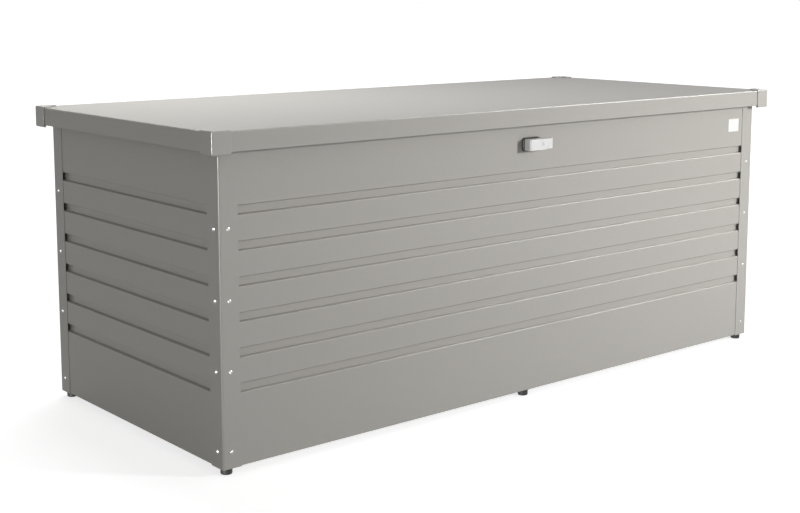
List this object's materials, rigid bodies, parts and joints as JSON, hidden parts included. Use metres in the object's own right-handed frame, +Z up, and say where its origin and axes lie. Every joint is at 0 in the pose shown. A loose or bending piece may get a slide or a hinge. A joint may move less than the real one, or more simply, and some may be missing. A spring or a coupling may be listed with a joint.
{
  "type": "cushion storage chest",
  "caption": "Free-standing sheet-steel chest with grooved walls, corner posts, a deep-rimmed lid on gas struts and a rotary front lock, for keeping seat cushions dry.",
  "frame": {"origin": "centre of the footprint, on the floor plane under the feet", "axes": "+X to the right along the long side, front with the lock faces -Y, +Z up"},
  "size_m": [1.81, 0.79, 0.7125],
  "materials": {
    "quartz_paint": "satin metallic coat on rolled sheet",
    "cap_plastic": "moulded, coated to match the lid",
    "galvanised_steel": "zinc coated, dull",
    "screw_steel": "bright domed heads",
    "black_plastic": "moulded, fine grain",
    "seal_rubber": "matt rubber section",
    "lock_metal": "satin plated casting",
    "strut_black": "gloss black tube",
    "polished_steel": "polished rod",
    "badge_white": "bare pale plate"
  },
  "bodies": {
    "chest": {"base_crossbar": "galvanised_steel", "base_rail_front": "galvanised_steel", "base_rail_left": "galvanised_steel", "base_rail_rear": "galvanised_steel", "base_rail_right": "galvanised_steel", "blank_badge": "badge_white", "corner_post_front_left": "quartz_paint", "corner_post_front_right": "quartz_paint", "corner_post_rear_left": "quartz_paint", "corner_post_rear_right": "quartz_paint", "floor_panel_left": "galvanised_steel", "floor_panel_right": "galvanised_steel", "front_panel": "quartz_paint", "glide_front_left": "black_plastic", "glide_front_middle": "black_plastic", "glide_front_right": "black_plastic", "glide_rear_left": "black_plastic", "glide_rear_middle": "black_plastic", "glide_rear_right": "black_plastic", "hinge_leaf_wall_left": "galvanised_steel", "hinge_leaf_wall_right": "galvanised_steel", "hinge_pins": "polished_steel", "left_panel": "quartz_paint", "lock_body": "galvanised_steel", "lock_rosette": "black_plastic", "post_screws": "screw_steel", "rear_panel": "quartz_paint", "right_panel": "quartz_paint", "rim_seal": "seal_rubber", "rod_guides": "galvanised_steel", "strut_bracket_wall_left": "galvanised_steel", "strut_bracket_wall_right": "galvanised_steel", "wall_stiffener_front_left": "galvanised_steel", "wall_stiffener_front_right": "galvanised_steel", "wall_stiffener_rear_left": "galvanised_steel", "wall_stiffener_rear_right": "galvanised_steel"},
    "handle": {"lock_cam": "galvanised_steel", "lock_handle": "lock_metal"},
    "key": {"key_cylinder": "polished_steel"},
    "latch_left": {"latch_rod_left": "galvanised_steel"},
    "latch_right": {"latch_rod_right": "galvanised_steel"},
    "lid": {"hinge_leaf_lid_left": "galvanised_steel", "hinge_leaf_lid_right": "galvanised_steel", "lid_cap_front_left": "cap_plastic", "lid_cap_front_right": "cap_plastic", "lid_cap_rear_left": "cap_plastic", "lid_cap_rear_right": "cap_plastic", "lid_catch_left": "galvanised_steel", "lid_catch_right": "galvanised_steel", "lid_panel": "quartz_paint", "lid_rail_left": "galvanised_steel", "lid_rail_middle": "galvanised_steel", "lid_rail_right": "galvanised_steel", "strut_bracket_lid_left": "galvanised_steel", "strut_bracket_lid_right": "galvanised_steel"},
    "strut_barrel_left": {"gas_strut_barrel_left": "strut_black"},
    "strut_barrel_right": {"gas_strut_barrel_right": "strut_black"},
    "strut_rod_left": {"gas_strut_rod_left": "polished_steel"},
    "strut_rod_right": {"gas_strut_rod_right": "polished_steel"}
  },
  "joints": [
    {"name": "lid_hinge", "type": "hinge", "parent": "chest", "child": "lid", "pos_m": [0, 0.3713, 0.668], "axis": [-1, 0, 0], "range_deg": [0, 80]},
    {"name": "strut_swing_left", "type": "hinge", "parent": "chest", "child": "strut_barrel_left", "pos_m": [-0.846, 0.265, 0.437], "axis": [-1, 0, 0], "range_deg": [0, 10.33]},
    {"name": "strut_slide_left", "type": "slide", "parent": "strut_barrel_left", "child": "strut_rod_left", "axis": [0, 0.1076, 0.9942], "range_m": [0, 0.09209]},
    {"name": "strut_swing_right", "type": "hinge", "parent": "chest", "child": "strut_barrel_right", "pos_m": [0.846, 0.265, 0.437], "axis": [-1, 0, 0], "range_deg": [0, 10.33]},
    {"name": "strut_slide_right", "type": "slide", "parent": "strut_barrel_right", "child": "strut_rod_right", "axis": [0, 0.1076, 0.9942], "range_m": [0, 0.09209]},
    {"name": "handle_turn", "type": "hinge", "parent": "chest", "child": "handle", "pos_m": [-0.003, -0.394, 0.6215], "axis": [0, 1, 0], "range_deg": [0, 90]},
    {"name": "key_turn", "type": "hinge", "parent": "handle", "child": "key", "pos_m": [0.014, -0.394, 0.6215], "axis": [0, 1, 0], "range_deg": [0, 90]},
    {"name": "latch_slide_left", "type": "slide", "parent": "chest", "child": "latch_left", "axis": [-1, 0, 0], "range_m": [0, 0.02263]},
    {"name": "latch_slide_right", "type": "slide", "parent": "chest", "child": "latch_right", "axis": [1, 0, 0], "range_m": [0, 0.02263]}
  ],
  "couplings": [
    {"joint": "strut_swing_left", "follows": "lid_hinge", "ratio": 0.12912},
    {"joint": "strut_slide_left", "follows": "lid_hinge", "m_per_rad": 0.065955},
    {"joint": "strut_swing_right", "follows": "lid_hinge", "ratio": 0.12912},
    {"joint": "strut_slide_right", "follows": "lid_hinge", "m_per_rad": 0.065955},
    {"joint": "latch_slide_left", "follows": "handle_turn", "m_per_rad": 0.014405},
    {"joint": "latch_slide_right", "follows": "handle_turn", "m_per_rad": 0.014405}
  ]
}
